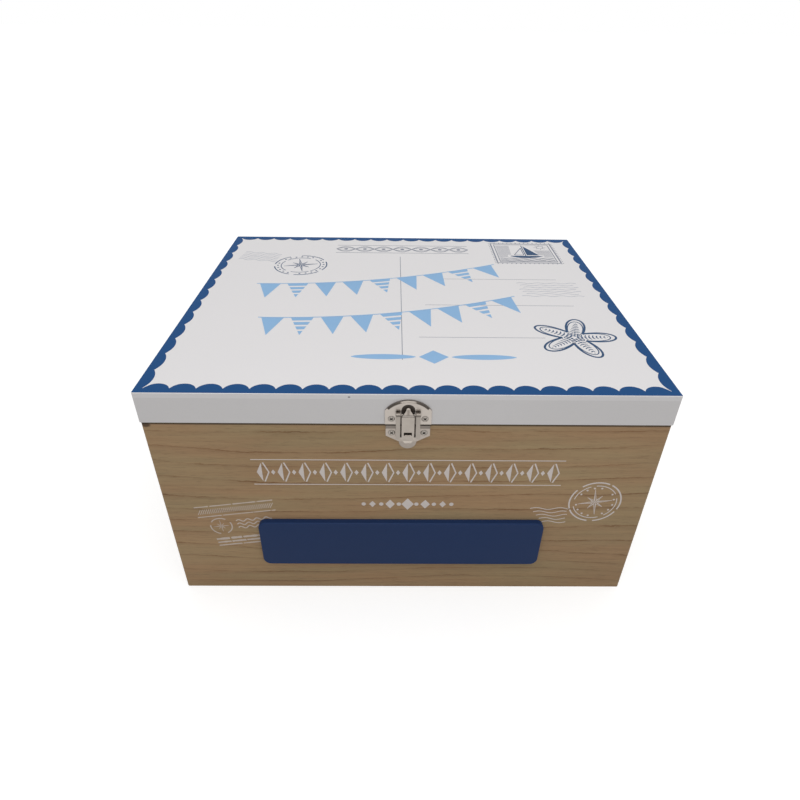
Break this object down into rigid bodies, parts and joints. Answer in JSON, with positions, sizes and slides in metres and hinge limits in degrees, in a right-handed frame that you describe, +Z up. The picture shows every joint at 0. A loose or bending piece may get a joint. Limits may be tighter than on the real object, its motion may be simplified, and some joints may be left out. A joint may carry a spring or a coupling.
{
  "type": "ditty box",
  "caption": "Wooden keepsake box with a hinged painted lid, a blank raised name plate on the front and a sprung hasp latch.",
  "frame": {"origin": "middle of the footprint of the whole part, latch to hinge knuckles, on the surface that the box stands on", "axes": "+X to the right seen from the front, along the long side; +Y from the front to the back; +Z up. The latch faces -Y."},
  "size_m": [0.301, 0.2682, 0.16],
  "materials": {
    "natural_wood": "tan wood-grain veneer, satin",
    "bottom_wood": "raw thin board",
    "white_paint": "painted white, satin",
    "navy_paint": "painted navy, satin",
    "latch_nickel": "nickel plated sheet steel",
    "hinge_nickel": "nickel plated sheet steel"
  },
  "bodies": {
    "box_body": {"front_wall": "natural_wood", "back_wall": "natural_wood", "left_wall": "natural_wood", "right_wall": "natural_wood", "bottom_board": "bottom_wood", "name_plate": "navy_paint", "latch_catch_plate": "latch_nickel", "latch_catch_screws": "latch_nickel", "left_hinge_body_leaf": "hinge_nickel", "right_hinge_body_leaf": "hinge_nickel", "left_hinge_pin": "hinge_nickel", "right_hinge_pin": "hinge_nickel", "hinge_body_screws": "hinge_nickel"},
    "lid": {"lid_board": "white_paint", "lid_front_rail": "white_paint", "lid_back_rail": "white_paint", "lid_left_rail": "white_paint", "lid_right_rail": "white_paint", "latch_lid_plate": "latch_nickel", "latch_pin": "latch_nickel", "latch_lid_screws": "latch_nickel", "left_hinge_lid_leaf": "hinge_nickel", "right_hinge_lid_leaf": "hinge_nickel", "hinge_lid_screws": "hinge_nickel"},
    "latch_flap": {"latch_flap": "latch_nickel"}
  },
  "joints": [
    {"name": "lid_hinge", "type": "hinge", "parent": "box_body", "child": "lid", "pos_m": [0, 0.13217, 0.1402], "axis": [-1, 0, 0], "range_deg": [0, 175]},
    {"name": "latch_hinge", "type": "hinge", "parent": "lid", "child": "latch_flap", "pos_m": [0, -0.13267, 0.1484], "axis": [-1, 0, 0], "range_deg": [0, 170]}
  ]
}
